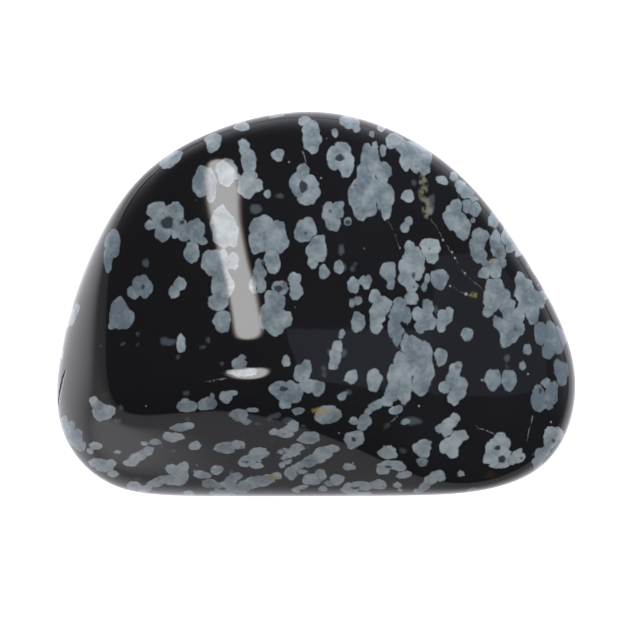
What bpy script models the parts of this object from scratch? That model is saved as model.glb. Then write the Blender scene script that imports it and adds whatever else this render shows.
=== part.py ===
"""A tumbled piece of snowflake obsidian, lying on its flattest side.

The stone began as a broken chip of volcanic glass. Tumbling wore its broken faces into one smooth
body: every face is still there as a nearly flat stretch, and every edge is round. The model is made
in the same way, from a swollen body, the chip's faces and how far their edges have worn.
Metres, +Z up, the origin under the middle of the stone, on the surface that it lies on.
"""

import math

import bmesh
import bpy
import numpy as np

MM = 0.001

# The middle of the stone, over the surface that it lies on.
MIDDLE_HEIGHT = 7.4 * MM

# Half the length, depth and height of the swollen body that the chip's faces are cut into.
BODY = np.array([21.5, 18.0, 8.0]) * MM

# The chip's broken faces: the way each one looks, as degrees round from the front towards the right
# and degrees above level, and its distance from the middle of the stone in millimetres.
SIDE_FACES = {
    "front": (2.5, -10, 12.3),
    "right_front_corner": (46, -4, 18.5),
    "right_end": (86, -2, 17.15),
    "right_shoulder": (123, 2, 12.15),
    "back_right": (151, 3, 11.5),
    "back": (177, 3, 11.68),
    "back_left": (-157, 2, 11.7),
    "left_shoulder": (-125, 0, 13.4),
    "left_end": (-104, -4, 15.35),
    "left_corner": (-70, -6, 19.1),
    "left_front_corner": (-29, -8, 20.3),
}
CROWN_FACES = {
    "crown_left": (-84, 62, 9.4),
    "crown_back": (168, 64, 10.4),
    "crown_right": (84, 66, 10.9),
}
BEVELS = {
    "front_bevel": (-16, 38, 10.45),
    "corner_bevel": (-50, 36, 13.2),
    "left_bevel": (-88, 38, 12.15),
}
UNDER_FACES = {
    "under_right": (92, -48, 13.0),
    "under_back": (174, -46, 10.6),
    "under_left": (-118, -50, 12.4),
    "underside": (0, -90, 8.4),
}

# How sharp the worn edges still are: 4 would be a pebble, 60 a fresh chip. The crown, the corners of
# the outline and the lower edges have worn more than the upper rim.
CROWN_SHARPNESS = 12.0
CORNER_SHARPNESS = 11.0
UNDER_SHARPNESS = 9.0
RIM_SHARPNESS = 24.0

# The shallow trough that wear has cut above the front edge: half its length, half its width, its
# depth, the place of its middle and how many degrees it turns to the left, as seen from above.
TROUGH_HALVES = np.array([2.4, 0.95]) * MM
TROUGH_DEPTH = 0.15 * MM
TROUGH_MIDDLE = np.array([-4.6, -5.0]) * MM
TROUGH_TURN = 2

# How far the edge of the resting face curves up out of its plane.
REST_CURVE = 0.3 * MM

# The black glass between the flakes, as linear light, and its polish.
GLASS_COLOUR = (0.010, 0.010, 0.012, 1.0)
GLASS_ROUGHNESS = 0.08

# The mesh's cells along each side of the cube that it starts from.
CELLS = 28


def facing(round_degrees, above_degrees):
    """The unit vector that looks round to the right of the front and above level."""
    turn = math.radians(round_degrees)
    rise = math.radians(above_degrees)
    return np.array([math.sin(turn) * math.cos(rise), -math.cos(turn) * math.cos(rise), math.sin(rise)])


def nearness(ways, faces):
    """One over the distance to each face, along each of the unit vectors in ways."""
    looks = [facing(turn, rise) / (distance * MM) for turn, rise, distance in faces.values()]
    return np.maximum(ways @ np.array(looks).T, 0.0)


def worn(columns, sharpness):
    """The largest of the columns, blended with the others that come close to it."""
    return (columns ** sharpness).sum(axis=1) ** (1.0 / sharpness)


def reach(ways):
    """How far the worn stone reaches from its middle, along each of the unit vectors in ways."""
    body = np.linalg.norm(ways / BODY, axis=1)
    crown = worn(np.column_stack([body, nearness(ways, CROWN_FACES)]), CROWN_SHARPNESS)
    sides = worn(nearness(ways, SIDE_FACES), CORNER_SHARPNESS)
    lower = worn(np.column_stack([sides, nearness(ways, UNDER_FACES)]), UNDER_SHARPNESS)
    return 1.0 / worn(np.column_stack([crown, lower, nearness(ways, BEVELS)]), RIM_SHARPNESS)


def trough_depth(places):
    """How deep the trough is at each of the places, which are seen from above."""
    turn = math.radians(TROUGH_TURN)
    along = np.array([math.cos(turn), math.sin(turn)])
    across = np.array([-math.sin(turn), math.cos(turn)])
    steps = (places - TROUGH_MIDDLE) @ np.column_stack([along, across]) / TROUGH_HALVES
    return TROUGH_DEPTH * np.exp(-(steps ** 2).sum(axis=1))


def rested(heights):
    """The heights, with the stone worn flat where it would go below the surface that it lies on."""
    curved = (heights + REST_CURVE) ** 2 / (4 * REST_CURVE)
    return np.where(heights > REST_CURVE, heights, np.where(heights < -REST_CURVE, 0.0, curved))


def stone_mesh():
    """A cube of square cells, with its points sent out to the worn surface."""
    form = bmesh.new()
    bmesh.ops.create_cube(form, size=2.0)
    bmesh.ops.subdivide_edges(form, edges=form.edges[:], cuts=CELLS - 1, use_grid_fill=True)
    mesh = bpy.data.meshes.new("stone")
    form.to_mesh(mesh)
    form.free()

    # Equal angles between the points keep the cells from crowding at the cube's corners.
    corners = np.empty(len(mesh.vertices) * 3)
    mesh.vertices.foreach_get("co", corners)
    ways = np.tan(corners.reshape(-1, 3) * (math.pi / 4))
    ways /= np.linalg.norm(ways, axis=1)[:, None]
    points = ways * reach(ways)[:, None]

    # The trough is in the upper side alone.
    upper = ways[:, 2] > 0
    points[upper, 2] -= trough_depth(points[upper, :2])
    points[:, 2] = rested(points[:, 2] + MIDDLE_HEIGHT)
    points[:, :2] -= (points[:, :2].min(axis=0) + points[:, :2].max(axis=0)) / 2
    mesh.vertices.foreach_set("co", points.ravel())
    mesh.shade_smooth()
    return mesh


def glass_material():
    glass = bpy.data.materials.new("snowflake_obsidian")
    glass.use_nodes = True
    shader = glass.node_tree.nodes["Principled BSDF"]
    shader.inputs["Base Color"].default_value = GLASS_COLOUR
    shader.inputs["Roughness"].default_value = GLASS_ROUGHNESS
    shader.inputs["Metallic"].default_value = 0.0
    return glass


def main():
    for old in list(bpy.data.objects):
        bpy.data.objects.remove(old)
    group = bpy.data.collections.new("snowflake_obsidian")
    bpy.context.scene.collection.children.link(group)
    stone = bpy.data.objects.new("stone", stone_mesh())
    stone.data.materials.append(glass_material())
    group.objects.link(stone)


main()
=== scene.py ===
"""A tumbled piece of snowflake obsidian on a pale floor, seen from almost straight above."""

import math

import bpy
import numpy as np
from mathutils import Matrix, Vector


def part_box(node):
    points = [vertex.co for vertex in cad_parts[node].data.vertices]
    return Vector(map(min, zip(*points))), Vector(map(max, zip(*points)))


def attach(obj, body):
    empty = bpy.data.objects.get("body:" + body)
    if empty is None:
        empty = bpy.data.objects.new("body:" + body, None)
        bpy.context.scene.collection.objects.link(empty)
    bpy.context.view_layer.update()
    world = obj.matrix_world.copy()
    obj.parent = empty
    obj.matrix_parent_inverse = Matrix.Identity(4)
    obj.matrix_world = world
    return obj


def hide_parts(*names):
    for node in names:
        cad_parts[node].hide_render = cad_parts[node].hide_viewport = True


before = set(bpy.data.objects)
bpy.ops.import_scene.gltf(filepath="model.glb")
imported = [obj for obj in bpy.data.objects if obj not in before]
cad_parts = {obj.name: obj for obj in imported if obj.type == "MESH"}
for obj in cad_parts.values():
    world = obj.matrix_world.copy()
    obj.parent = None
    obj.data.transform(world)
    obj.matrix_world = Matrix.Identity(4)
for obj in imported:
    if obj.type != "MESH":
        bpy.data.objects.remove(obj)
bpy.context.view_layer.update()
bpy.ops.object.select_all(action="DESELECT")
MM = 0.001


# The camera: a long lens that looks down on the stone, 5 degrees off straight down, from the side
# of the sloping front. It comes first, because the stone's markings were read off the photo and are
# sent back along its lines of sight.
PHOTO_SIDE = 620
SENSOR = 36.0
CAMERA_DISTANCE = 400 * MM
CAMERA_RISE = math.radians(85)
PICTURE_WIDTH = 38.2 * MM
PIXEL = PICTURE_WIDTH / PHOTO_SIDE
NEAREST_SEEN = 10 * MM
OUTLINE_MIDDLE = (314.5, 306.5)


def turned_to(place, target, upward):
    """The turn of a camera or a lamp at place that looks at target, with upward at its top."""
    back = (place - target).normalized()
    side = upward.cross(back).normalized()
    return Matrix((side, back.cross(side), back)).transposed().to_euler()


stone_low, stone_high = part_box("stone")
stone_middle = (stone_low + stone_high) / 2
toward = Vector((0, -math.cos(CAMERA_RISE), math.sin(CAMERA_RISE)))
rightward = Vector((1, 0, 0))
upward = toward.cross(rightward)
off_middle = ((OUTLINE_MIDDLE[0] - PHOTO_SIDE / 2) * rightward
              - (OUTLINE_MIDDLE[1] - PHOTO_SIDE / 2) * upward) * PIXEL
picture_middle = stone_middle - off_middle
bpy.ops.object.camera_add(location=picture_middle + toward * CAMERA_DISTANCE)
camera = bpy.context.active_object
camera.rotation_euler = turned_to(camera.location, picture_middle, Vector((0, 1, 0)))
camera.data.sensor_width = SENSOR
camera.data.lens = SENSOR * CAMERA_DISTANCE / PICTURE_WIDTH
camera.data.clip_start = NEAREST_SEEN
bpy.context.scene.camera = camera


# The stone: a broken chip of volcanic glass that a tumbler has worn round and polished. It is the
# solid's own form, with its triangles joined into squares and divided until the polish reflects
# without facets.
LOOSE_POINTS = 0.001 * MM
SMOOTHING_LEVELS = 2

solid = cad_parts["stone"]
bpy.context.view_layer.objects.active = solid
solid.select_set(True)
bpy.ops.object.duplicate()
stone = bpy.context.active_object
stone.name = "snowflake_stone"
stone.data.name = "snowflake_stone"
stone.parent = None
bpy.ops.mesh.customdata_custom_splitnormals_clear()
bpy.ops.object.mode_set(mode="EDIT")
bpy.ops.mesh.select_all(action="SELECT")
bpy.ops.mesh.remove_doubles(threshold=LOOSE_POINTS)
bpy.ops.mesh.tris_convert_to_quads(face_threshold=math.pi, shape_threshold=math.pi)
bpy.ops.object.mode_set(mode="OBJECT")
bpy.ops.object.shade_smooth()
rounding = stone.modifiers.new("rounding", "SUBSURF")
rounding.levels = rounding.render_levels = SMOOTHING_LEVELS
bpy.ops.object.modifier_apply(modifier=rounding.name)


def stone_array(values, kind):
    """The stone's points or their normals, as rows of x, y and z."""
    rows = np.empty(len(values) * 3)
    values.foreach_get(kind, rows)
    return rows.reshape(-1, 3)


points = stone_array(stone.data.vertices, "co")
normals = stone_array(stone.data.vertex_normals, "vector")


def along_sight(x, y):
    """The unit vector from the camera through a pixel of the photo."""
    aside = (x - PHOTO_SIDE / 2) * PIXEL * rightward
    above = (PHOTO_SIDE / 2 - y) * PIXEL * upward
    return (aside + above - toward * CAMERA_DISTANCE).normalized()


# A reading just outside the outline misses the stone, so it moves in by this share of its way to the
# outline's middle, again and again until it meets the stone.
SHARE_INWARD = 0.01
MOST_MOVES = 40


def seen_at(x, y):
    """The place on the stone that a pixel of the photo shows, and its normal."""
    for move in range(MOST_MOVES):
        hit, place, normal, face = stone.ray_cast(camera.location, along_sight(x, y))
        if hit:
            return np.array(place), np.array(normal)
        x += (OUTLINE_MIDDLE[0] - x) * SHARE_INWARD
        y += (OUTLINE_MIDDLE[1] - y) * SHARE_INWARD
    raise ValueError(f"no stone at {x}, {y}")


# The front lip of the trough is a little sharper than in the solid, because two shallow dents lie behind
# it. Each has its middle in the photo, and half its length, half its width and its depth in millimetres.
LIP_DENTS = [((248, 364), 2.0, 0.7, 0.029), ((226, 370), 1.2, 0.5, 0.012)]

upper = np.flatnonzero(points[:, 2] > stone_middle.z)
for reading, half_long, half_wide, depth in LIP_DENTS:
    middle = seen_at(*reading)[0]
    off = (points[upper, :2] - middle[:2]) / (np.array([half_long, half_wide]) * MM)
    points[upper, 2] -= depth * MM * np.exp(-(off ** 2).sum(axis=1))
stone.data.vertices.foreach_set("co", points.ravel())
stone.data.update()
normals = stone_array(stone.data.vertex_normals, "vector")


# The snowflakes: pale grey balls of needle crystals that grew in the glass, cut through by its
# surface. Each is a cluster of round lobes. They are colour in the polished surface and not relief.
# Those that the photo shows are lists of lobes as read off: x, y, width and height in the photo's
# pixels, and for a lobe that leans, its turn to the left in degrees.
FLAKES = [
    # Along the rim, from the left end over the back to the right end.
    [(112, 243, 17, 28), (108, 258, 9, 30)],
    [(170, 159, 26, 12, 35)],
    [(213, 141, 16, 20), (211, 149, 9, 9)],
    [(241, 126, 15, 10)],
    [(305, 121, 15, 11), (311, 131, 17, 22), (312, 141, 18, 24)],
    [(350, 120, 20, 14), (356, 128, 7, 9)],
    [(382, 128, 9, 6)],
    [(395, 140, 18, 16), (404, 147, 16, 16), (413, 150, 22, 22), (407, 161, 16, 18), (424, 155, 18, 22),
     (424, 168, 12, 14), (416, 163, 16, 18)],
    [(454, 176, 9, 9), (461, 186, 11, 14), (468, 193, 14, 14), (474, 200, 10, 10)],
    [(467, 206, 17, 16), (475, 208, 12, 18), (473, 220, 4, 6)],
    [(495, 218, 11, 15)],
    [(507, 236, 10, 20), (513, 243, 12, 18), (519, 250, 8, 12)],
    # The back left, left of the bright reflection and under it.
    [(157, 211, 20, 19), (175, 212, 18, 19), (151, 225, 12, 10), (163, 233, 17, 16), (177, 227, 18, 22),
     (168, 220, 30, 26), (185, 233, 16, 16), (195, 231, 20, 24), (192, 252, 15, 22), (203, 241, 8, 8)],
    [(204, 182, 24, 30), (211, 185, 12, 34)],
    [(226, 172, 21, 28), (237, 177, 6, 6)],
    [(224, 228, 26, 42, 14)],
    [(212, 262, 22, 26), (222, 262, 16, 24), (233, 261, 13, 17), (222, 285, 22, 34), (218, 302, 20, 18)],
    [(222, 321, 18, 22)],
    [(254, 285, 10, 18)],
    [(141, 285, 18, 20), (134, 292, 14, 14), (146, 289, 13, 18)],
    [(180, 284, 12, 14), (174, 292, 11, 12)],
    [(119, 309, 18, 22), (121, 317, 26, 22), (113, 325, 10, 9), (120, 326, 10, 7), (125, 322, 12, 14)],
    # This flake is a painted highlight, a bright patch drawn as a flake.
    [(181, 344, 9, 18)],
    # The two upper lobes of this flake are a painted highlight, the peak of the crescent mirrored in the
    # lip.
    [(243, 372, 30, 9), (239, 363, 15, 11), (242, 358, 8, 7)],
    # The back, right of the bright reflection.
    [(244, 147, 10, 18), (249, 161, 15, 24), (247, 186, 18, 24), (257, 185, 12, 14), (250, 176, 14, 12),
     (267, 194, 7, 8)],
    [(277.5, 155, 13, 13)],
    [(303, 173, 12, 20), (304, 186, 28, 26), (307, 193, 24, 24), (298, 180, 14, 18)],
    [(342, 150, 16, 18), (336, 158, 18, 24), (346, 164, 16, 26), (333, 154, 12, 12)],
    [(335, 133, 6, 9)],
    [(372, 134, 5, 7)],
    [(367, 149, 9, 12), (375, 148, 7, 14), (383, 150, 7, 12), (370, 163, 20, 34), (383, 172, 16, 22),
     (364, 178, 16, 28), (358, 196, 18, 36), (366, 202, 22, 30), (361, 213, 12, 16), (385, 196, 18, 28),
     (386, 210, 11, 20), (375, 190, 14, 24)],
    [(329, 212, 13, 20), (337, 211, 13, 18), (333, 223, 15, 16), (341, 205, 6, 8)],
    [(348, 221, 7, 8)],
    [(306, 230, 20, 22), (308, 222, 10, 10), (300, 234, 12, 14)],
    [(317, 250, 20, 26), (313, 261, 10, 15), (321, 239, 9, 8)],
    [(262, 228, 24, 26), (258, 240, 18, 28), (275, 238, 24, 32), (272, 260, 16, 28), (280, 230, 12, 16),
     (283, 243, 10, 16)],
    [(260, 270, 13, 22), (260, 284, 12, 18)],
    [(294, 280, 13, 16), (296, 291, 14, 17)],
    [(280, 288, 17, 14), (274, 302, 20, 26), (270, 318, 20, 22), (284, 319, 16, 18), (276, 328, 16, 16),
     (264, 318, 10, 24)],
    [(324, 272, 10, 15)],
    [(339, 267, 10, 14)],
    [(353, 285, 11, 17)],
    [(363, 280, 7, 9), (368, 280, 7, 10), (367, 285, 7, 8)],
    [(352, 303, 6, 9), (358, 301, 8, 9)],
    [(358, 322, 14, 21, -5)],
    [(342, 334, 6, 10, -20)],
    # The back right, round the two cracks.
    [(408, 196, 12, 13)],
    [(409, 220, 8, 9), (405, 227, 9, 11)],
    [(431, 211, 5, 9)],
    [(442, 180, 13, 9, -15)],
    [(452, 217, 17, 26), (458, 207, 16, 16), (459, 222, 16, 24), (463, 232, 14, 16), (467, 226, 8, 14)],
    [(480, 236, 18, 16), (477, 247, 16, 22), (480, 256, 14, 14), (484, 262, 7, 7)],
    [(496, 240, 12, 20), (499, 250, 15, 20), (503, 263, 9, 9)],
    [(410, 247, 10, 13), (414, 258, 21, 24), (408, 268, 20, 20), (407, 278, 18, 16), (417, 270, 14, 20),
     (412, 287, 12, 12), (412, 298, 13, 13)],
    [(430, 248, 21, 20), (432, 257, 12, 13)],
    [(439.5, 279, 18, 20)],
    [(427, 279, 6, 11), (424, 287, 6, 10)],
    [(388.5, 271, 16, 19), (391, 283, 8, 14)],
    # The middle, from left to right.
    [(375, 297, 13, 14), (381, 305, 18, 18), (388, 307, 10, 16), (377, 316, 16, 22), (376, 327, 12, 15)],
    [(399, 304, 12, 14), (406, 316, 11, 17), (396, 314, 16, 22), (394, 328, 13, 20), (398, 335, 12, 22),
     (399, 347, 4, 4)],
    [(428, 307, 11, 16), (418, 314, 13, 14), (427, 320, 14, 20), (420, 327, 10, 14), (432, 323, 8, 14)],
    [(449, 315, 9, 15), (443, 316, 10, 14), (441, 325, 10, 15)],
    [(467.5, 334, 12, 13)],
    [(405, 343, 12, 20), (413, 350, 20, 30), (412, 366, 14, 20), (424, 358, 16, 34),
     (427, 370, 14, 30), (421, 381, 18, 30),
     (402, 362, 16, 20), (397, 378, 18, 34), (402, 384, 20, 28), (405, 396, 12, 14), (404, 402, 6, 6),
     (391, 394, 13, 18), (387, 401, 12, 12), (376, 405, 15, 9, 30), (368, 412, 9, 7, 30),
     (364, 422, 12, 18, -25), (354, 421, 10, 8)],
    [(337, 347, 11, 14), (335, 357, 12, 18), (333, 366, 9, 8)],
    [(351, 377, 14, 12, 35)],
    [(342, 396, 11, 8, 25)],
    [(374, 380, 15, 23)],
    [(441, 357, 13, 18)],
    [(455, 370, 12, 16), (459, 365, 7, 8), (452, 380, 12, 14), (445, 387, 13, 12), (459, 388, 16, 24),
     (454, 397, 12, 16)],
    # The right end.
    [(484, 273, 12, 11), (495, 268, 14, 22), (495, 287, 18, 18), (492, 300, 17, 24), (488, 311, 10, 13),
     (497, 321, 8, 13), (505, 302, 12, 26), (508, 306, 16, 16), (514, 317, 22, 16), (508, 328, 20, 20),
     (518, 329, 14, 16), (506, 341, 12, 14), (512, 337, 14, 12), (520, 280, 10, 18), (520, 290, 10, 22),
     (527, 286, 14, 14), (527, 298, 16, 26), (535, 300, 12, 20), (541, 302, 10, 12), (533, 315, 14, 18),
     (522, 308, 10, 12), (544, 295, 11, 11)],
    [(541, 333, 14, 24), (551, 338, 14, 34), (548, 352, 14, 14), (560, 340, 11, 28), (564, 338, 8, 16)],
    [(558, 367, 8, 18), (562, 376, 12, 20), (566, 370, 6, 16)],
    [(546, 383, 9, 10), (538, 398, 14, 26), (539, 408, 8, 8), (552, 394, 13, 24), (549, 406, 10, 8),
     (556, 385, 5, 8)],
    [(527.5, 350, 8, 11)],
    [(522.5, 366, 7, 9)],
    [(493, 379, 16, 22), (509, 380, 15, 21)],
    # On the lip of the trough and along its front, from left to right.
    [(94, 401, 10, 10), (99, 408, 14, 14), (103, 412, 24, 18)],
    [(187, 406, 21, 13)],
    [(207, 404, 19, 13, 10), (212, 396, 5, 6)],
    [(226, 397, 13, 13), (233, 393, 9, 6)],
    [(239, 415, 18, 12), (252, 410, 12, 5), (246, 422, 10, 6)],
    [(286, 361, 9, 11)],
    [(303, 372, 16, 24, -25), (306, 364, 8, 7), (308, 386, 16, 14), (280, 390, 20, 18), (290, 393, 26, 22),
     (285, 404, 12, 9), (318, 388, 14, 15)],
    [(298, 411, 13, 7, 15)],
    [(327, 415, 26, 18, 8), (335, 415, 14, 14)],
    # The front, from left to right.
    [(64, 421, 8, 12, -10), (68, 429, 12, 18, -25), (75, 438, 15, 18, -40), (80, 446, 12, 12)],
    [(95, 446, 15, 8), (90, 451, 8, 6)],
    [(117, 452, 9, 4)],
    [(98, 463, 22, 9), (108, 464, 18, 10), (104, 469, 18, 6), (113, 474, 12, 7)],
    [(130, 463, 14, 8), (137, 458, 22, 11, 30), (146, 452, 17, 9, 25)],
    [(145, 443, 10, 4), (155, 442, 12, 6)],
    [(182, 427, 25, 8, 8)],
    [(173, 437, 22, 10)],
    [(195, 446, 13, 9, 15)],
    [(134, 486, 15, 9), (145, 489, 16, 7, 15), (155, 483, 18, 9, 20), (163, 480, 14, 9), (175, 480, 26, 12),
     (182, 472, 14, 20), (172, 469, 14, 10), (185, 466, 7, 10)],
    [(202, 475, 19, 8, -5)],
    [(189, 493, 11, 5)],
    [(225, 448, 22, 12), (237, 445, 16, 10)],
    [(217, 470, 13, 9, 15)],
    [(258, 454, 22, 13, 15), (247, 461, 18, 11, 15), (257, 466, 14, 6)],
    [(211, 484, 20, 9, -10), (226, 488, 26, 12), (240, 489, 20, 10), (222, 494, 26, 6), (236, 476, 13, 8),
     (231, 480, 12, 9), (250, 484, 24, 12, 12), (262, 481, 24, 12, 12)],
    [(277, 476, 11, 7), (272, 478, 7, 8)],
    [(275, 432, 12, 7), (285, 433, 18, 10), (292, 427, 15, 11, 30)],
    [(309, 438, 22, 12, 8)],
    [(284, 451, 14, 5, 10), (290, 455, 20, 7, 25), (297, 448, 15, 9, 5), (284, 458, 6, 4)],
    [(288, 461, 10, 6, 30), (282, 465, 7, 6, 30)],
    [(291, 473, 13, 14), (295, 468, 8, 7)],
    [(302, 472, 11, 5)],
    [(303, 464, 18, 7, 15), (313, 460, 26, 11, 25), (322, 455, 22, 15, 25), (330, 449, 20, 8, 5)],
    [(313, 479, 19, 12), (320, 475, 13, 12), (307, 481, 10, 8)],
    [(323, 489, 9, 6)],
    [(337, 480, 15, 12, 20), (330, 484, 10, 6)],
    [(303, 487, 12, 5, 15), (296, 490, 9, 6)],
    [(350, 489, 18, 12), (362, 486, 26, 9), (378, 485, 18, 10), (360, 494, 26, 5)],
    [(354, 439, 20, 16), (352, 443, 12, 12)],
    [(349, 467, 14, 7)],
    [(388, 453, 19, 13)],
    [(391, 465, 26, 9), (383, 470, 14, 9), (400, 467, 11, 10)],
    [(404, 475, 16, 7, 12)],
    [(397, 485, 9, 6), (401, 490, 5, 4)],
    [(396, 410, 14, 9, 20)],
    [(405, 422, 10, 6, 35)],
    [(422, 448, 19, 13), (424, 443, 14, 7), (423, 454, 12, 8), (422, 462, 11, 9)],
    [(441, 428, 12, 9, 35), (449, 424, 20, 12, 35), (455, 418, 10, 10), (447, 433, 12, 8)],
    [(462, 436, 13, 12), (455, 440, 24, 15, 40), (446, 447, 14, 13), (452, 452, 13, 14)],
    [(438, 474, 14, 8), (441, 478, 9, 8), (431, 480, 20, 10, 35), (424, 487, 14, 8, 30), (418, 491, 8, 5)],
    [(461, 474, 8, 8)],
    [(500, 440, 13, 16), (494, 450, 18, 22), (489, 458, 12, 13), (500, 455, 22, 22), (507, 444, 8, 12),
     (500, 464, 22, 9), (512, 460, 12, 10), (518, 457, 14, 12), (520, 451, 7, 6)],
    [(555, 435, 22, 16), (551, 442, 16, 15), (541, 456, 12, 16), (538, 465, 10, 14), (546, 451, 10, 10)],
]

# The darker middles of some flakes, where the ball of needles grew round a grain.
FLAKE_CORES = [
    (167, 223, 12, 12), (182, 222, 4, 4), (143, 287, 5, 5), (303, 187, 8, 12), (340, 158, 9, 8),
    (330, 211, 4, 4), (306, 233, 4, 4), (348, 222, 4, 4), (278, 289, 8, 6), (414, 275, 3, 5),
    (516, 329, 4, 4), (541, 391, 3, 5), (555, 396, 3, 3), (284, 389, 9, 4), (245, 462, 6, 3),
    (223, 489, 6, 3), (353, 440, 4, 6), (355, 488, 10, 3), (388, 467, 7, 3), (502, 459, 9, 8),
    (497, 448, 5, 4), (522, 457.5, 3, 3), (553, 441, 6, 3),
]

# Flakes that lie a little way under the surface, so that the black glass over them dims them.
SUNKEN_FLAKES = [
    (146, 263, 7, 9), (138, 334, 4, 4), (137, 345, 4, 4), (123, 344, 5, 3), (164, 341, 9, 8),
    (170, 342, 12, 6), (208, 340, 5, 6), (203, 347, 6, 3), (178, 357, 4, 5), (222, 364, 3, 4),
    (280, 196, 8, 5), (187, 393, 7, 5), (256, 209, 12, 10), (344, 267, 5, 8), (341, 250, 6, 11),
    (352, 269, 4, 6), (355, 264, 4, 4), (414, 183, 4, 6), (432, 199, 6, 9), (533, 263, 6, 10),
    (436, 309, 4, 9), (507, 358, 5, 9), (508, 367, 4, 5), (275, 416, 13, 6, 15), (269, 419, 5, 5),
    (288, 421, 11, 7), (258, 424, 7, 3), (303, 426, 6, 3), (403, 451, 8, 5), (414, 421, 14, 7),
    (387, 426, 7, 5, 35), (344, 353, 6, 9), (329, 352, 4, 7), (349, 392, 6, 5), (121, 408, 6, 6),
    (117, 421, 9, 5), (188, 419, 5, 3), (162, 447, 3, 3), (174, 451, 5, 3), (138, 479, 7, 3),
    (231, 472, 6, 4), (195, 471, 6, 4), (308, 448, 4, 3), (533, 454, 5, 4), (430, 208, 9, 16),
    (323, 368, 5, 5), (324, 375, 4, 5), (410, 421, 8, 9),
]

# How softly lobes run together, how far from its edge a lobe still counts, the steepest slope that a lobe
# is stretched over, how deep it goes, and the waves round its edge: how many, and how high.
FLAKE_BLEND = 0.035 * MM
FLAKE_FADE = 0.9 * MM
STEEPEST = 0.42
LOBE_DEPTH = 0.6 * MM
EDGE_WAVES = ((3, 0.06), (5, 0.045), (8, 0.03))
# Nothing is divided by a distance under this share of a lobe.
LEAST_REACH = 0.02
SEED = 7

chance = np.random.default_rng(SEED)


def lobe(x, y, width, height, lean=0.0):
    """Where a lobe of the photo lies on the stone: its middle, and its half-axes along it and into it."""
    middle, out = seen_at(x, y)
    side, top, near = np.array(rightward), np.array(upward), np.array(toward)
    turn = math.radians(lean)
    axes = [(side * math.cos(turn) + top * math.sin(turn)) * width,
            (top * math.cos(turn) - side * math.sin(turn)) * height]
    slope = max(near @ out, STEEPEST)
    flat = [(axis - near * (axis @ out) / slope) * PIXEL / 2 for axis in axes]
    return middle, np.column_stack([flat[0], flat[1], out * LOBE_DEPTH])


class Field:
    """How far the stone's points lie outside the lobes drawn on it, and the tone of those lobes."""

    def __init__(self):
        self.weight = np.full(len(points), math.exp(-FLAKE_FADE / FLAKE_BLEND))
        self.toned = np.zeros(len(points))

    def draw(self, middle, axes, tone=0.0):
        close = np.flatnonzero(np.abs(points - middle).max(axis=1) < np.abs(axes).max() + FLAKE_FADE)
        inverse = np.linalg.inv(axes)
        steps = (points[close] - middle) @ inverse.T
        angle = np.arctan2(steps[:, 1], steps[:, 0])
        starts = chance.uniform(0, 2 * math.pi, len(EDGE_WAVES))
        wave = sum(size * np.sin(count * angle + start) for (count, size), start in zip(EDGE_WAVES, starts))
        reach = np.maximum(np.linalg.norm(steps, axis=1), LEAST_REACH)
        slope = np.linalg.norm(steps @ inverse, axis=1) / reach
        outside = np.clip((reach - 1 - wave) / np.maximum(slope, 1.0), -FLAKE_FADE, FLAKE_FADE)
        weight = np.exp(-outside / FLAKE_BLEND)
        self.weight[close] += weight
        self.toned[close] += weight * tone

    def outside(self):
        return -FLAKE_BLEND * np.log(self.weight)


def keep_on_stone(name, values):
    stone.data.attributes.new(name, "FLOAT", "POINT").data.foreach_set("value", values.astype(np.float32))


# Flakes that touch keep a hair of glass between them, so they are kept as two layers, each new flake in
# the one whose flakes are further off. The lobes of a flake take turns in its layer's two fields. What
# has grown in a layer is rows of a middle and a radius, and starts with a row that is far from the stone.
FAR_OFF = (1.0, 1.0, 1.0, 0.0)
TONE_SPREAD = 0.6
layers = [(Field(), Field()), (Field(), Field())]
grown = [np.array([FAR_OFF]), np.array([FAR_OFF])]


def nearest_gap(row, others):
    """The gap between a lobe and the nearest of the others, each a row of its middle and its radius."""
    return (np.linalg.norm(others[:, :3] - row[:3], axis=1) - others[:, 3]).min() - row[3]


def grow(flake, tone):
    rows = np.array([[*middle, np.abs(axes[:, :2]).max()] for middle, axes in flake])
    gaps = [min(nearest_gap(row, others) for row in rows) for others in grown]
    layer = int(gaps[1] > gaps[0])
    grown[layer] = np.vstack([grown[layer], rows])
    for turn, (middle, axes) in enumerate(flake):
        layers[layer][turn % 2].draw(middle, axes, tone + chance.normal(0, TONE_SPREAD))


# The flakes of these areas are darker: x, y, half the width and half the height, and by how much. At the
# left and right ends this is painted shade, where the surface turns from the light. Where that is below
# nothing,
# they are painted brighter: a painted highlight on the flake at 181, 344 and over the front.
TONE_SHADE_AND_HIGHLIGHT_AREAS = [
    (115, 290, 40, 70, 2.0), (165, 215, 45, 40, 1.0), (303, 190, 14, 30, 0.8), (368, 190, 26, 50, 0.6),
    (325, 425, 30, 40, 0.8), (545, 360, 30, 60, 2.6), (500, 300, 45, 60, 0.5), (270, 468, 260, 38, -2.5),
    (181, 344, 3, 3, -2.0), (431, 211, 2, 2, 2.0),
]
for flake in FLAKES:
    tone = chance.normal(0, TONE_SPREAD)
    for x, y, half_width, half_height, darkening in TONE_SHADE_AND_HIGHLIGHT_AREAS:
        if abs(flake[0][0] - x) < half_width and abs(flake[0][1] - y) < half_height:
            tone -= darkening
    grow([lobe(*reading) for reading in flake], tone)

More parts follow.
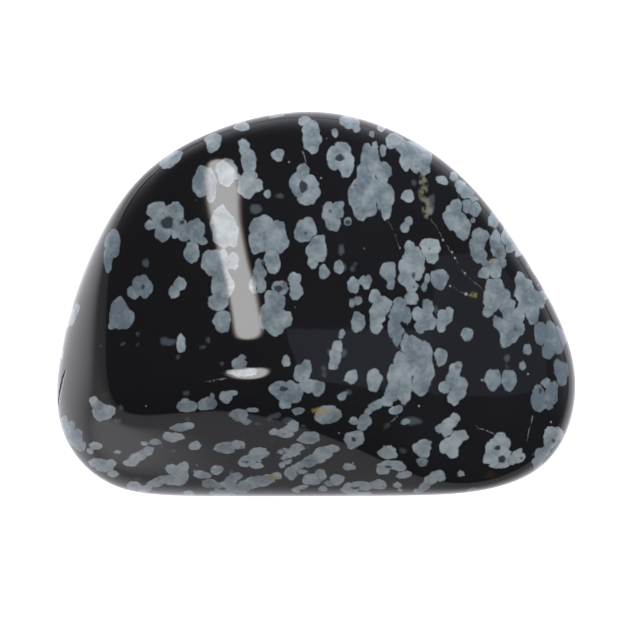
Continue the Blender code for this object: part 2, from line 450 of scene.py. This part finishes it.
# The sides that the photo hides carry flakes of the same kind: each is a short wandering chain of lobes,
# and a hair of glass or more is left between one flake and the next. A side is hidden where it faces the
# camera by less than this, and the chains have so many lobes, of such radii, stretches and steps.
HIDDEN_SIGHT = 0.06
HIDDEN_TRIES = 3600
HIDDEN_GAPS = (0.04 * MM, 0.5 * MM)
LOBE_COUNTS = (1, 2, 4, 6, 9, 13, 18)
LOBE_COUNT_SHARES = (0.16, 0.16, 0.18, 0.18, 0.14, 0.10, 0.08)
LOBE_RADII = (0.28 * MM, 0.62 * MM)
LOBE_STRETCHES = (0.8, 1.25)
LOBE_STEPS = (0.8, 1.3)
WANDERING = 1.3
HIDDEN_TONE = -0.3
HIDDEN_TONE_SPREAD = 0.7
CORED_SHARE = 0.2
CORE_SIZES = (0.3, 0.5)
# Any direction: what is square to it and to a normal lies along the surface.
ASKEW = (0.3, 0.5, 0.8)

hidden = np.flatnonzero(normals @ np.array(toward) < HIDDEN_SIGHT)
hidden_cores = []
for start in chance.choice(hidden, HIDDEN_TRIES, replace=False):
    place = points[start]
    heading = chance.uniform(0, 2 * math.pi)
    flake = []
    for step in range(chance.choice(LOBE_COUNTS, p=LOBE_COUNT_SHARES)):
        found, on_stone, out, face = stone.closest_point_on_mesh(Vector(place))
        middle, out = np.array(on_stone), np.array(out)
        side = np.cross(out, ASKEW)
        side /= np.linalg.norm(side)
        top = np.cross(out, side)
        radius = chance.uniform(*LOBE_RADII)
        lean = chance.uniform(0, 2 * math.pi)
        longer = chance.uniform(*LOBE_STRETCHES)
        flat = [(side * math.cos(lean) + top * math.sin(lean)) * radius * longer,
                (top * math.cos(lean) - side * math.sin(lean)) * radius / longer]
        flake.append((middle, np.column_stack([*flat, out * LOBE_DEPTH])))
        heading += chance.normal(0, WANDERING)
        onward = side * math.cos(heading) + top * math.sin(heading)
        place = middle + onward * radius * chance.uniform(*LOBE_STEPS)
    gap = chance.uniform(*HIDDEN_GAPS)
    everyone = np.vstack(grown)
    rows = [(*middle, np.abs(axes[:, :2]).max()) for middle, axes in flake]
    if all(nearest_gap(np.array(row), everyone) > gap for row in rows):
        grow(flake, chance.normal(HIDDEN_TONE, HIDDEN_TONE_SPREAD))
        if len(flake) > 1 and chance.random() < CORED_SHARE:
            hidden_cores.append((flake[0][0], flake[0][1] * chance.uniform(*CORE_SIZES)))

cores = Field()
for reading in FLAKE_CORES:
    cores.draw(*lobe(*reading))
for middle, axes in hidden_cores:
    cores.draw(middle, axes)
sunken = Field()
for reading in SUNKEN_FLAKES:
    sunken.draw(*lobe(*reading))

fields = [field for layer in layers for field in layer]
for name, field in zip(("even_lobes_a", "even_lobes_b", "odd_lobes_a", "odd_lobes_b"), fields):
    keep_on_stone(name, field.outside() / MM)
keep_on_stone("flake_tone", sum(field.toned for field in fields) / sum(field.weight for field in fields))
keep_on_stone("core_edge", cores.outside() / MM)
keep_on_stone("sunken_edge", sunken.outside() / MM)


# The healed cracks and the stains: thin films of iron oxide that run down into the glass, with painted
# glints, gold and pale, along the cracks and on the films where they catch the light, and hair-thin gaps in
# the flakes that show the glass. Each hair is a line of points as read off, and each film and stain a lobe,
# in the photo's pixels.
CRACKS = [
    [(423, 178), (424, 192), (428, 205), (432, 222), (437, 228), (442, 238), (447, 246), (452, 254),
     (458, 263), (465, 274), (471, 279), (476, 283), (481, 288)],
    [(388, 222), (395, 233), (399, 246), (402, 254)],
    [(450, 285), (457, 289), (466, 294), (474, 296)],
]
DARK_SEAMS = [
    [(262, 262), (267, 271), (271, 279)],
    [(69, 445), (74, 448), (80, 452)],
    [(165, 425), (171, 421), (177, 417)],
    [(104, 481), (110, 485)],
    [(174, 491), (180, 494)],
]
PALE_HAIRS = [
    [(303, 149), (304, 156), (305, 162)],
    [(209, 381.5), (216, 380), (224, 378.5)],
    [(533, 417), (531, 425), (527, 437)],
    [(478, 427), (485, 430), (493, 434)],
    [(387, 426), (391, 422), (395, 418)],
    [(118, 487), (125, 489), (132, 490)],
]
# A nick that the tumbling left in the left rim: a short curved pit with rough, dull glass in it, painted
# black as painted shade.
NICKS = [
    [(65, 372), (62, 382), (60, 393), (59, 403)],
]
# The pale films are painted glints on the first crack.
PALE_GLINTS = [(423, 188, 7, 26), (427, 208, 7, 22)]
# The gold films are iron stains; the one at the end of the third crack is partly a painted glint.
GOLD_STAINS_AND_GLINT = [(320, 411, 15, 7), (272, 478, 7, 7), (473, 295, 7, 5)]
BROWN_STAINS = [(489, 262, 8, 8), (497, 255, 8, 10), (491, 475, 13, 7), (107, 395, 10, 6),
                (459, 365, 8, 8), (314, 414, 9, 7), (283, 284, 8, 8)]
HAIR_REACH = 0.8 * MM


def beside(hairs):
    """How far the stone's points lie from the nearest of the hairs, and on which side of it."""
    near = np.full(len(points), HAIR_REACH)
    side = np.full(len(points), HAIR_REACH)
    for hair in hairs:
        places = [seen_at(*reading) for reading in hair]
        for (start, out), (end, later_out) in zip(places, places[1:]):
            run = end - start
            share = np.clip((points - start) @ run / (run @ run), 0, 1)
            off = points - start - share[:, None] * run
            across = off @ (np.cross(out, run) / np.linalg.norm(run))
            apart = np.linalg.norm(off - np.outer(off @ out, out), axis=1)
            apart[np.abs(off @ out) > HAIR_REACH] = HAIR_REACH
            closer = apart < near
            near[closer] = apart[closer]
            side[closer] = np.copysign(apart, across)[closer]
    return near / MM, side / MM


for name, hairs in (("crack", CRACKS), ("seam", DARK_SEAMS), ("pale_hair", PALE_HAIRS), ("nick", NICKS)):
    near, side = beside(hairs)
    keep_on_stone(name + "_near", near)
    keep_on_stone(name + "_side", side)
for name, films in (("pale_edge", PALE_GLINTS), ("gold_edge", GOLD_STAINS_AND_GLINT), ("brown_edge", BROWN_STAINS)):
    film = Field()
    for reading in films:
        film.draw(*lobe(*reading))
    keep_on_stone(name, film.outside() / MM)


# The polished surface: black glass with the flakes in it, ground and polished together in a tumbler, so
# that one gloss runs over both. The gloss is sharp, with a trace of waviness and slightly duller patches.
# Obsidian bends light by 1.48 to 1.51, and isn't a metal.
# Of these colours, the greyer glass is partly a painted reflection, the pit black is painted shade, the
# glint and the pale film are painted glints, and the crack film and the gold film are partly painted glints.
BLACK_GLASS = "151517"
PAINTED_REFLECTION_GREY = "1C1D21"
PAINTED_PIT_SHADE = "030303"
FLAKE_GREY = "626E77"
PALE_FLAKE = "98A2A6"
CORE_GREY = "343A3E"
GOLD_STAIN_AND_GLINT = "9C8C4C"
PALE_GLINT = "85856F"
CRACK_FILM_AND_GLINT = "5E594C"
PAINTED_GLINT = "CFCDC6"
BROWN_STAIN = "3E2A16"
GLASS_IOR = 1.5


def linear(hex_colour):
    """The colour that a camera sees as the sRGB hex value, as linear light."""
    parts = [int(hex_colour[i:i + 2], 16) / 255 for i in (0, 2, 4)]
    return [p / 12.92 if p <= 0.04045 else ((p + 0.055) / 1.055) ** 2.4 for p in parts] + [1.0]


def node(tree, kind, sockets, **options):
    """Adds a node with its options, and sets its sockets or links them to earlier nodes or outputs.

    A socket goes by its name, or by its number where several have one name: 0 to 2 on a Math node, 0, 2
    and 3 for the share and the two values of a Mix of numbers, and 0, 6 and 7 on a Mix of colours.
    """
    made = tree.nodes.new("ShaderNode" + kind)
    for option, value in options.items():
        setattr(made, option, value)
    for socket, value in sockets.items():
        if isinstance(value, bpy.types.Node):
            value = next(output for output in value.outputs if output.enabled)
        if isinstance(value, bpy.types.NodeSocket):
            tree.links.new(value, made.inputs[socket])
        else:
            made.inputs[socket].default_value = value
    return made


obsidian = bpy.data.materials.new("tumbled_snowflake_obsidian")
obsidian.use_nodes = True
tree = obsidian.node_tree
shader = tree.nodes["Principled BSDF"]
place = node(tree, "TexCoord", {}).outputs["Object"]

# What the mesh keeps of the flakes, cracks and stains, in millimetres.
marks = {}
for name in [attribute.name for attribute in stone.data.attributes if attribute.data_type == "FLOAT"]:
    marks[name] = node(tree, "Attribute", {}, attribute_name=name).outputs["Fac"]

# The grains of the surface: the needles' ragged tips, the flakes' fine crystals and cloudy patches, gaps
# along the creases and in the films, and the waviness and the duller patches of the polish. Each has the
# width of a lump in millimetres, which is half a cell of the noise, and the noise's detail.
GRAINS = {"tips": (0.26, 3.0), "crystals": (0.11, 1.0), "clouds": (0.45, 2.0), "breaks": (0.5, 2.0),
          "films": (0.16, 2.0), "ripples": (3.5, 0.0), "haze": (1.6, 2.0)}
grains = {}
for name, (size, detail) in GRAINS.items():
    sockets = {"Vector": place, "Scale": 0.5 / (size * MM), "Detail": detail}
    grains[name] = node(tree, "TexNoise", sockets).outputs["Fac"]
# Nearly all of a noise's values lie in the first range, and most of them in the second.
WHOLE_NOISE = {"From Min": 0.2, "From Max": 0.8}
MOST_NOISE = {"From Min": 0.3, "From Max": 0.7}

# The ragged edge: how far the needles' tips and the fine crystals move it out and in, in millimetres.
RAGGED_BY = {"tips": 0.085, "crystals": 0.02}
ragged = 0.0
for name, length in RAGGED_BY.items():
    sockets = {"Value": grains[name], **WHOLE_NOISE, "To Min": -length, "To Max": length}
    ragged = node(tree, "Math", {0: node(tree, "MapRange", sockets), 1: ragged}, operation="ADD")

# Each layer's two fields meet in a soft crease, which fades away outside the flakes, and the two layers
# in a hair of glass. The widths of the crease's bend and of the hair are in millimetres.
CREASE_BEND = 0.04
CREASE_FADE = 4.0
SEAM = 0.05
edges = {}
creases = {}
for layer in ("even", "odd"):
    pair = {0: marks[layer + "_lobes_a"], 1: marks[layer + "_lobes_b"]}
    edges[layer] = node(tree, "Math", {**pair, 2: CREASE_BEND}, operation="SMOOTH_MIN")
    difference = node(tree, "Math", pair, operation="SUBTRACT")
    apart = node(tree, "Math", {0: difference}, operation="ABSOLUTE")
    outside = node(tree, "Math", {0: edges[layer], 1: 0.0}, operation="MAXIMUM")
    creases[layer] = node(tree, "Math", {0: outside, 1: CREASE_FADE, 2: apart}, operation="MULTIPLY_ADD")
flake_edge = node(tree, "Math", {0: edges["even"], 1: edges["odd"]}, operation="MINIMUM")
difference = node(tree, "Math", {0: edges["even"], 1: edges["odd"]}, operation="SUBTRACT")
apart = node(tree, "Math", {0: difference}, operation="ABSOLUTE")
hair = node(tree, "Math", {0: apart, 1: -0.5, 2: SEAM / 2}, operation="MULTIPLY_ADD")
flake_edge = node(tree, "Math", {0: flake_edge, 1: hair}, operation="MAXIMUM")
flake_edge = node(tree, "Math", {0: flake_edge, 1: ragged}, operation="ADD")
crease = node(tree, "Math", {0: creases["even"], 1: creases["odd"]}, operation="MINIMUM")

# The share of each marking at a point: how far outside its edge it starts, and how far inside it is full,
# in millimetres.
EDGES = {"flake": (0.045, -0.045), "core": (0.07, -0.05), "sunken": (0.09, -0.14), "gold": (0.12, -0.08),
         "pale": (0.12, -0.08), "brown": (0.2, -0.12)}
soft = {"interpolation_type": "SMOOTHSTEP"}
shares = {}
for name, (start, full) in EDGES.items():
    edge = flake_edge
    if name != "flake":
        edge = node(tree, "Math", {0: marks[name + "_edge"], 1: ragged}, operation="ADD")
    shares[name] = node(tree, "MapRange", {"Value": edge, "From Min": start, "From Max": full}, **soft)

# Thin lines: how far each runs from its middle to its edge, in millimetres. The side changes sign far
# from a hair too, so a line shows only where its hair is near: from 0.36 mm on, and in full at 0.2 mm.
LINES = {"crack": 0.06, "seam": 0.08, "pale_hair": 0.07, "nick": 0.17}
LINE_NEAR = {"From Min": 0.36, "From Max": 0.2}
for name, half_width in LINES.items():
    across = node(tree, "Math", {0: marks[name + "_side"], 1: ragged}, operation="ADD")
    across = node(tree, "Math", {0: across}, operation="ABSOLUTE")
    line = node(tree, "MapRange", {"Value": across, "From Min": half_width, "From Max": 0.0}, **soft)
    near = node(tree, "MapRange", {"Value": marks[name + "_near"], **LINE_NEAR}, **soft)
    shares[name] = node(tree, "Math", {0: line, 1: near}, operation="MULTIPLY")

# The flakes' own colour, on the way from their grey to their pale: cloudy, with fine crystals, a tone of
# its own for each lobe, which carries the painted shade and painted highlight of some areas, and a paler
# edge. Its creases and cores are darker.
CLOUD_RANGE = {"To Min": -0.03, "To Max": 0.77}
CRYSTAL_RANGE = {"To Min": -0.13, "To Max": 0.13}
TONE_STEP = 0.16
PALER_EDGE = {"From Min": -0.2, "From Max": -0.05, "To Max": 0.12}
DARKER_CREASE = {"From Min": 0.26, "From Max": 0.0, "To Max": 0.32}
clouds = node(tree, "MapRange", {"Value": grains["clouds"], **MOST_NOISE, **CLOUD_RANGE})
crystals = node(tree, "MapRange", {"Value": grains["crystals"], **MOST_NOISE, **CRYSTAL_RANGE})
mottle = node(tree, "Math", {0: clouds, 1: crystals}, operation="ADD")
mottle = node(tree, "Math", {0: marks["flake_tone"], 1: TONE_STEP, 2: mottle}, operation="MULTIPLY_ADD")
paler = node(tree, "MapRange", {"Value": flake_edge, **PALER_EDGE})
mottle = node(tree, "Math", {0: mottle, 1: paler}, operation="ADD")
creased = node(tree, "MapRange", {"Value": crease, **DARKER_CREASE}, **soft)
creased = node(tree, "Math", {0: creased, 1: grains["breaks"]}, operation="MULTIPLY")
flake_colour = linear(FLAKE_GREY)
for share, tint in ((mottle, PALE_FLAKE), (creased, CORE_GREY), (shares["core"], CORE_GREY)):
    flake_colour = node(tree, "Mix", {0: share, 6: flake_colour, 7: linear(tint)}, data_type="RGBA")

# Tiny pores, which are dark in a flake. Their edges are shares of their spacing, which is in millimetres.
PORE_SPACING = 1.1
DARK_PORE = {"From Min": 0.1, "From Max": 0.05, "To Max": 0.6}
pores = node(tree, "TexVoronoi", {"Vector": place, "Scale": 1 / (PORE_SPACING * MM)}).outputs["Distance"]
pore = node(tree, "MapRange", {"Value": pores, **DARK_PORE}, **soft)
flake_colour = node(tree, "Mix", {0: pore, 6: flake_colour, 7: linear(CORE_GREY)}, data_type="RGBA")

# The glass, painted greyer in patches of haze towards the right: partly its own cloudy haze, partly a
# painted reflection of a dim board over the stone. With it, the flakes that lie under its surface.
REFLECTION_TO_RIGHT = {"From Min": -11 * MM, "From Max": 5 * MM}
SUNKEN_STRENGTH = 0.45
rightward_place = node(tree, "SeparateXYZ", {0: place}).outputs["X"]
haze_and_reflection = node(tree, "MapRange", {"Value": rightward_place, **REFLECTION_TO_RIGHT})
haze_and_reflection = node(tree, "Math", {0: haze_and_reflection, 1: grains["haze"]}, operation="MULTIPLY")
dimmed = node(tree, "Math", {0: shares["sunken"], 1: SUNKEN_STRENGTH}, operation="MULTIPLY")
uncut = node(tree, "Math", {0: 1.0, 1: shares["seam"]}, operation="SUBTRACT")
flake_share = node(tree, "Math", {0: shares["flake"], 1: uncut}, operation="MULTIPLY")
colour = linear(BLACK_GLASS)
for share, tint in ((haze_and_reflection, linear(PAINTED_REFLECTION_GREY)), (dimmed, linear(FLAKE_GREY)), (flake_share, flake_colour)):
    colour = node(tree, "Mix", {0: share, 6: colour, 7: tint}, data_type="RGBA")

# The films in the cracks and the stains, each broken up by a grain, as spots or as longer runs, and with its
# strength and its colour. The crack lines are faint films with painted glints, the pale films are painted
# glints, and the gold films are stains.
SPOTS = {"From Min": 0.42, "From Max": 0.62}
RUNS = {"From Min": 0.36, "From Max": 0.56}
FILMS = [("brown", RUNS, 0.5, BROWN_STAIN), ("crack", RUNS, 0.7, CRACK_FILM_AND_GLINT),
         ("pale", RUNS, 0.6, PALE_GLINT), ("gold", RUNS, 0.7, GOLD_STAIN_AND_GLINT),
         ("pale_hair", SPOTS, 0.5, PALE_FLAKE)]
for name, breaking, strength, tint in FILMS:
    cover = node(tree, "MapRange", {"Value": grains["films"], **breaking}, **soft)
    film = node(tree, "Math", {0: shares[name], 1: cover}, operation="MULTIPLY")
    film = node(tree, "Math", {0: film, 1: strength}, operation="MULTIPLY")
    colour = node(tree, "Mix", {0: film, 6: colour, 7: linear(tint)}, data_type="RGBA")

# Bright specks: dust and pits, and painted glints where light catches the cracks and the flakes: x and y in
# the photo, and the width in pixels. A point's distance from the nearest is a share of its width.
DUST_AND_GLINT_SPECKS = [
    (289, 162, 2.6), (321, 178, 2.6), (450, 286, 3), (466, 294, 4.5), (443, 240, 3), (452, 252, 3),
    (455, 258, 3), (465, 273, 3), (391, 446, 3), (384, 446, 2.2), (388, 447, 2.2), (197, 465, 2.5),
    (353, 463, 3), (321, 478, 3), (339, 433, 3), (419, 406, 3), (551, 422, 3), (538, 285, 3),
    (146, 406, 2.5), (482, 380, 3.5), (528, 374, 3), (400, 248, 2.2),
]
GLINT_SPECK_EDGE = {"From Min": 0.5, "From Max": 0.2, "To Max": 0.42}
nearest = 1.0
for x, y, width in DUST_AND_GLINT_SPECKS:
    apart = node(tree, "VectorMath", {0: place, 1: seen_at(x, y)[0]}, operation="DISTANCE")
    apart = node(tree, "Math", {0: apart, 1: 1 / (width * PIXEL)}, operation="MULTIPLY")
    nearest = node(tree, "Math", {0: apart, 1: nearest}, operation="MINIMUM")
speck_and_glint = node(tree, "MapRange", {"Value": nearest, **GLINT_SPECK_EDGE}, **soft)
colour = node(tree, "Mix", {0: speck_and_glint, 6: colour, 7: linear(PAINTED_GLINT)}, data_type="RGBA")

# Dust of the polishing powder, in the pores of some patches.
PALE_PORE = {"From Min": 0.075, "From Max": 0.03, "To Max": 0.3}
DUSTY_PATCH = {"From Min": 0.52, "From Max": 0.6}
dust = node(tree, "MapRange", {"Value": pores, **PALE_PORE}, **soft)
dusty = node(tree, "MapRange", {"Value": grains["haze"], **DUSTY_PATCH}, **soft)
dust = node(tree, "Math", {0: dust, 1: dusty}, operation="MULTIPLY")
colour = node(tree, "Mix", {0: dust, 6: colour, 7: linear(PALE_FLAKE)}, data_type="RGBA")

# The polish, and the nick, which isn't polished and whose black is painted shade.
POLISH = {"From Min": 0.35, "From Max": 0.75, "To Min": 0.025, "To Max": 0.06}
ROUGH_NICK = 0.5
RIPPLE_HEIGHT = 0.008 * MM
NICK_DEPTH = 0.12 * MM
colour = node(tree, "Mix", {0: shares["nick"], 6: colour, 7: linear(PAINTED_PIT_SHADE)}, data_type="RGBA")
polish = node(tree, "MapRange", {"Value": grains["haze"], **POLISH})
roughness = node(tree, "Mix", {0: shares["nick"], 2: polish, 3: ROUGH_NICK})
ripples = node(tree, "Bump", {"Height": grains["ripples"], "Distance": RIPPLE_HEIGHT})
pit = {"Height": shares["nick"], "Distance": NICK_DEPTH, "Normal": ripples}
pit = node(tree, "Bump", pit, invert=True)
tree.links.new(colour.outputs[2], shader.inputs["Base Color"])
tree.links.new(roughness.outputs[0], shader.inputs["Roughness"])
tree.links.new(pit.outputs[0], shader.inputs["Normal"])
shader.inputs["IOR"].default_value = GLASS_IOR
stone.data.materials.clear()
stone.data.materials.append(obsidian)

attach(stone, "root")
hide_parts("stone")


# The floor: the matt opal sheet of a light table, lit from below. It is white round the stone, dimmer in
# front of it and grey further out. Each lit area has its middle in millimetres, its stretch along x and
# y, where it starts to fade, where it ends, and how brightly it glows.
FLOOR_SIDE = 1200 * MM
SHEET = "505050"
SHEET_LIGHT = "F8F8FF"
SHEET_ROUGHNESS = 0.8
LIT_AREAS = [((0, 0), (1.0, 1.0), 300, 600, 0.26), ((-20, -160), (1.0, 1.0), 130, 230, 0.52),
             ((-22, 0), (1.0, 0.62), 0, 65, 2.6), ((-43, -45), (1.0, 1.0), 10, 38, 1.45),
             ((25, 45), (1.0, 1.0), 40, 100, 2.1), ((-60, 45), (1.0, 1.0), 10, 50, 2.3),
             ((60, 400), (1.0, 1.0), 220, 420, 1.25)]

bpy.ops.object.select_all(action="DESELECT")
bpy.ops.mesh.primitive_plane_add(size=FLOOR_SIDE, location=(0, 0, 0))
floor = bpy.context.active_object
floor.name = "floor"
sheet = bpy.data.materials.new("opal_acrylic_light_table")
sheet.use_nodes = True
tree = sheet.node_tree
floor_place = node(tree, "TexCoord", {}).outputs["Object"]
glow = 0.0
for (x, y), (wide, deep), fades_from, fades_to, brightness in LIT_AREAS:
    off = node(tree, "VectorMath", {0: floor_place, 1: (x * MM, y * MM, 0)}, operation="SUBTRACT")
    off = node(tree, "VectorMath", {0: off, 1: (1 / wide, 1 / deep, 1)}, operation="MULTIPLY")
    off = node(tree, "VectorMath", {0: off}, operation="LENGTH")
    fade = {"From Min": fades_from * MM, "From Max": fades_to * MM, "To Min": brightness, "To Max": 0.0}
    area = node(tree, "MapRange", {"Value": off, **fade}, **soft)
    glow = node(tree, "Math", {0: area, 1: glow}, operation="MAXIMUM")
acrylic = tree.nodes["Principled BSDF"]
acrylic.inputs["Base Color"].default_value = linear(SHEET)
acrylic.inputs["Roughness"].default_value = SHEET_ROUGHNESS
acrylic.inputs["Emission Color"].default_value = linear(SHEET_LIGHT)
tree.links.new(glow.outputs[0], acrylic.inputs["Emission Strength"])
floor.data.materials.append(sheet)


# The lights: a tall window-like strip at the back left, which the polish shows as the bright stripe; two
# bluish boards high up, which it shows as a faint veil; and a large soft lamp at the back right that
# lights everything and isn't mirrored. Places are in metres from the stone's middle.
STRIP_PLACE = Vector((-0.12, 0.090, 0.30))
STRIP_WIDTH = 0.19
STRIP_HEIGHT = 0.36
STRIP_LIGHT = 9.6
SOFT_PLACE = Vector((0.22, 0.12, 0.55))
SOFT_SIDE = 0.5
SOFT_LIGHT = 3.2
BOARD_RISE = Vector((0, 0, 0.5))
BOARD_BLUE = "DCE4FF"
# Each board's place, width, height and light.
BOARDS = {"board_over": (Vector((0.072, -0.083, 0.0)), 0.30, 0.11, 0.35),
          "board_right": (Vector((0.46, -0.02, 0.0)), 0.48, 0.25, 0.23)}


def lamp(name, offset, width, height, radiance, mirrored=True, colour="FFFFFF", target=stone_middle):
    place = stone_middle + offset
    bpy.ops.object.light_add(type="AREA", location=place)
    made = bpy.context.active_object
    made.name = name
    made.rotation_euler = turned_to(place, target, Vector((0, 1, 0)))
    made.data.shape = "RECTANGLE"
    made.data.size = width
    made.data.size_y = height
    made.data.energy = radiance * math.pi * width * height
    made.data.color = linear(colour)[:3]
    made.visible_glossy = mirrored
    return made


strip = lamp("strip", STRIP_PLACE, STRIP_WIDTH, STRIP_HEIGHT, STRIP_LIGHT)
lamp("soft_top", SOFT_PLACE, SOFT_SIDE, SOFT_SIDE, SOFT_LIGHT, mirrored=False)
for name, (aside, width, height, radiance) in BOARDS.items():
    lamp(name, aside + BOARD_RISE, width, height, radiance, colour=BOARD_BLUE, target=stone_middle + aside)

# The strip is a soft curtain in front of a window: it bends to one side and back on its way up, narrows
# and fades through brown at its edges. Heights are shares of the lamp's height, from its middle. Bends
# and half widths are shares of the curtain's own, of which the lamp's width holds 2.5.
ACROSS = {1: 2.5, 2: -1.25}
BENDS = [(-0.50, -0.25), (-0.39, -0.24), (-0.33, -0.22), (-0.29, -0.26), (-0.24, -0.35), (-0.17, -0.47),
         (-0.12, -0.53), (-0.05, -0.50), (0.04, -0.35), (0.12, -0.19), (0.27, -0.05), (0.50, -0.10)]
NARROWING = {"From Min": -0.24, "From Max": 0.14, "To Min": 0.54, "To Max": 0.42}
TOP_FADE = (0.19, 0.08)
FOOT_FADE = (-0.30, -0.11)
# A curve node keeps its values between 0 and 1, so the bends are kept around this one.
CURVE_MIDDLE = 0.7
# Where the light and its brown fringe start and end, as shares of the half width.
LIT_EDGE = {"From Min": 1.2, "From Max": 0.7}
FRINGE_EDGE = {"From Min": 0.8, "From Max": 1.05}
WARM_WHITE = "FDFBFB"
BROWN_FRINGE = "DCCBBC"

strip.data.use_nodes = True
tree = strip.data.node_tree
spot = node(tree, "SeparateXYZ", {0: node(tree, "NewGeometry", {}).outputs["Parametric"]})
across = node(tree, "Math", {0: spot.outputs["X"], **ACROSS}, operation="MULTIPLY_ADD")
height = node(tree, "Math", {0: spot.outputs["Y"], 1: 0.5}, operation="SUBTRACT")
bend = node(tree, "FloatCurve", {"Value": spot.outputs["Y"]})
curve = bend.mapping.curves[0]
for point, (up, shift) in zip(curve.points, (BENDS[0], BENDS[-1])):
    point.location = (up + 0.5, shift + CURVE_MIDDLE)
for up, shift in BENDS[1:-1]:
    curve.points.new(up + 0.5, shift + CURVE_MIDDLE)
bend.mapping.update()
shift = node(tree, "Math", {0: bend, 1: CURVE_MIDDLE}, operation="SUBTRACT")
off = node(tree, "Math", {0: across, 1: shift}, operation="SUBTRACT")
half_width = node(tree, "MapRange", {"Value": height, **NARROWING}, **soft)
off = node(tree, "Math", {0: off, 1: half_width}, operation="DIVIDE")
beyond = {"X": off}
for axis, (start, fade) in (("Y", TOP_FADE), ("Z", FOOT_FADE)):
    past = node(tree, "Math", {0: height, 1: start}, operation="SUBTRACT")
    past = node(tree, "Math", {0: past, 1: fade}, operation="DIVIDE")
    beyond[axis] = node(tree, "Math", {0: past, 1: 0.0}, operation="MAXIMUM")
off = node(tree, "VectorMath", {0: node(tree, "CombineXYZ", beyond)}, operation="LENGTH")
lit = node(tree, "MapRange", {"Value": off, **LIT_EDGE}, **soft)
fringe = node(tree, "MapRange", {"Value": off, **FRINGE_EDGE}, **soft)
tint = node(tree, "Mix", {0: fringe, 6: linear(WARM_WHITE), 7: linear(BROWN_FRINGE)}, data_type="RGBA")
emission = tree.nodes["Emission"]
tree.links.new(tint.outputs[2], emission.inputs["Color"])
tree.links.new(lit.outputs[0], emission.inputs["Strength"])


# The room: it is dark overhead and in front, and a white backdrop stands low behind the stone. It fades
# with height and towards its sides.
ROOM_GLOW = 0.06
BACKDROP_GLOW = 2.1
BACKDROP_WHITE = "F2F5FF"
BACKDROP_WAY = (0.2, 0.98, 0)
UPWARD_FADE = {"From Min": -0.1, "From Max": 0.68, "To Min": BACKDROP_GLOW, "To Max": 0.0}
SIDEWAYS_FADE = {"From Min": -0.2, "From Max": 0.7}

room = bpy.data.worlds.new("studio")
bpy.context.scene.world = room
room.use_nodes = True
tree = room.node_tree
look = node(tree, "TexCoord", {}).outputs["Generated"]
rise = node(tree, "SeparateXYZ", {0: look}).outputs["Z"]
low = node(tree, "MapRange", {"Value": rise, **UPWARD_FADE}, **soft)
behind = node(tree, "VectorMath", {0: look, 1: BACKDROP_WAY}, operation="DOT_PRODUCT")
behind = node(tree, "MapRange", {"Value": behind, **SIDEWAYS_FADE}, **soft)
glow = node(tree, "Math", {0: low, 1: behind, 2: ROOM_GLOW}, operation="MULTIPLY_ADD")
backdrop = tree.nodes["Background"]
backdrop.inputs["Color"].default_value = linear(BACKDROP_WHITE)
tree.links.new(glow.outputs[0], backdrop.inputs["Strength"])
bpy.context.scene.view_settings.view_transform = "Standard"
